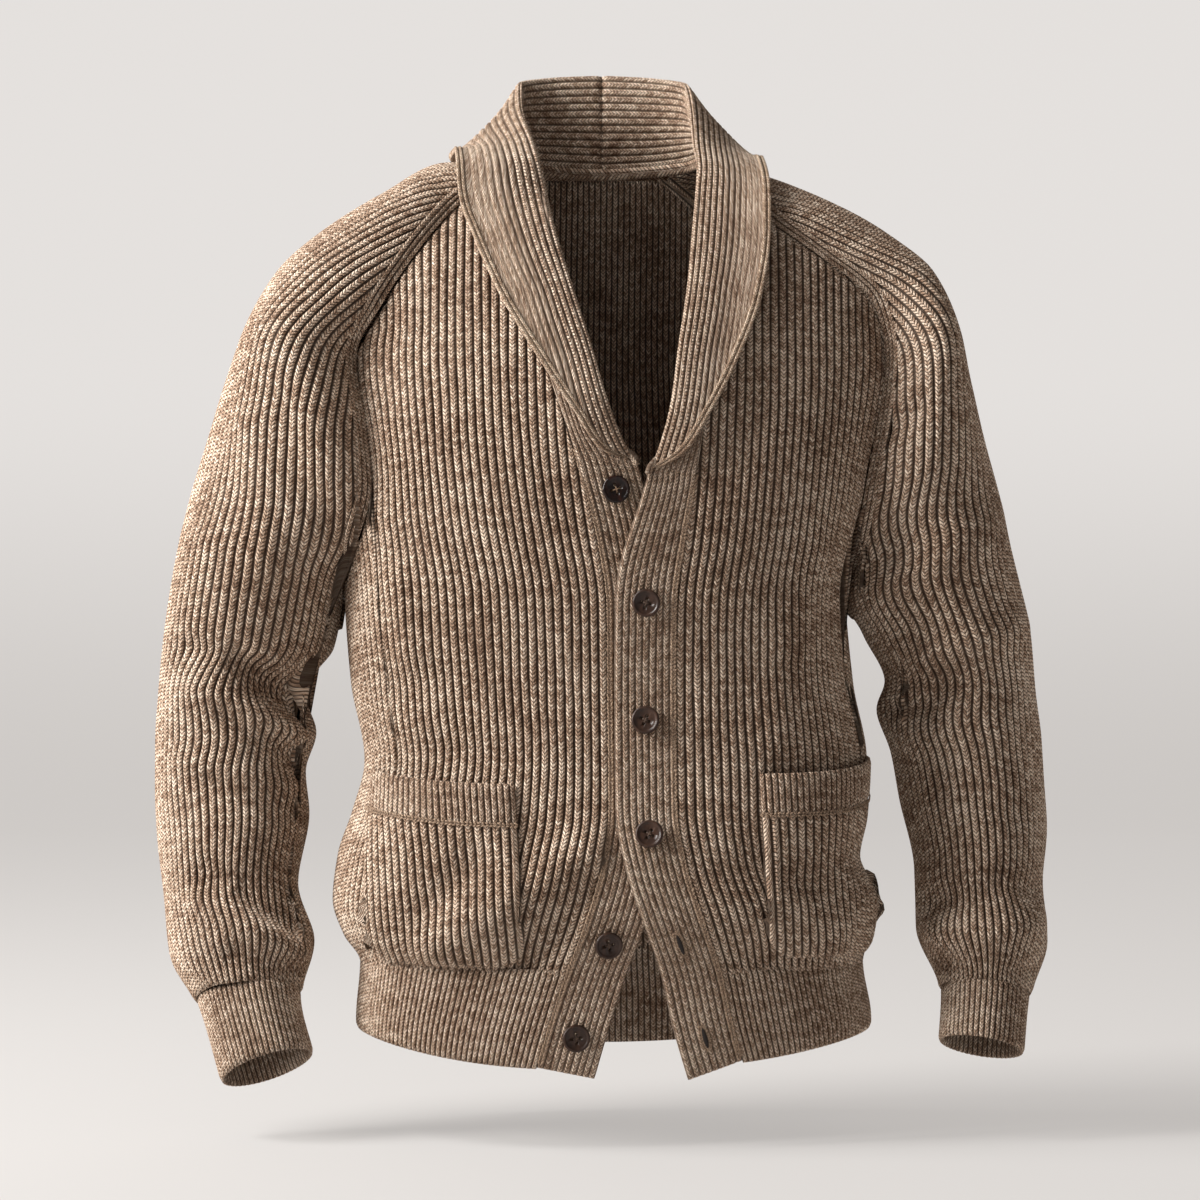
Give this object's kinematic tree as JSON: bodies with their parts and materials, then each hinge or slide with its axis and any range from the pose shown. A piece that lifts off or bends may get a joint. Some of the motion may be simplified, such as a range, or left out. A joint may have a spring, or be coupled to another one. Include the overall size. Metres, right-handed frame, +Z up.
{
  "type": "shawl collar cardigan",
  "caption": "Ribbed knit cardigan with raglan sleeves, a turned-down shawl collar, button front, patch pockets and ribbed cuffs and hem.",
  "frame": {"origin": "the nape: the middle of the back neck seam, where the two halves of the collar meet", "axes": "+Z up from hem to collar, the front faces -Y, +X is the wearer's left"},
  "size_m": [0.6948, 0.2635, 0.7991],
  "materials": {
    "body_knit": "marled wool rib knit",
    "trim_knit": "marled wool fine rib knit",
    "button_horn": "polished dark horn"
  },
  "bodies": {
    "root": {"back": "body_knit", "front_right": "body_knit", "front_left": "body_knit", "sleeve_right": "body_knit", "sleeve_left": "body_knit", "pocket_right": "body_knit", "pocket_left": "body_knit", "pocket_welt_right": "trim_knit", "pocket_welt_left": "trim_knit", "cuff_right": "trim_knit", "cuff_left": "trim_knit", "hem_back": "trim_knit", "hem_front_right": "trim_knit", "hem_front_left": "trim_knit", "band_right": "trim_knit", "band_left": "trim_knit", "collar_right": "trim_knit", "collar_left": "trim_knit", "button_1": "button_horn", "button_2": "button_horn", "button_3": "button_horn", "button_4": "button_horn", "button_5": "button_horn", "button_6": "button_horn"}
  },
  "joints": []
}
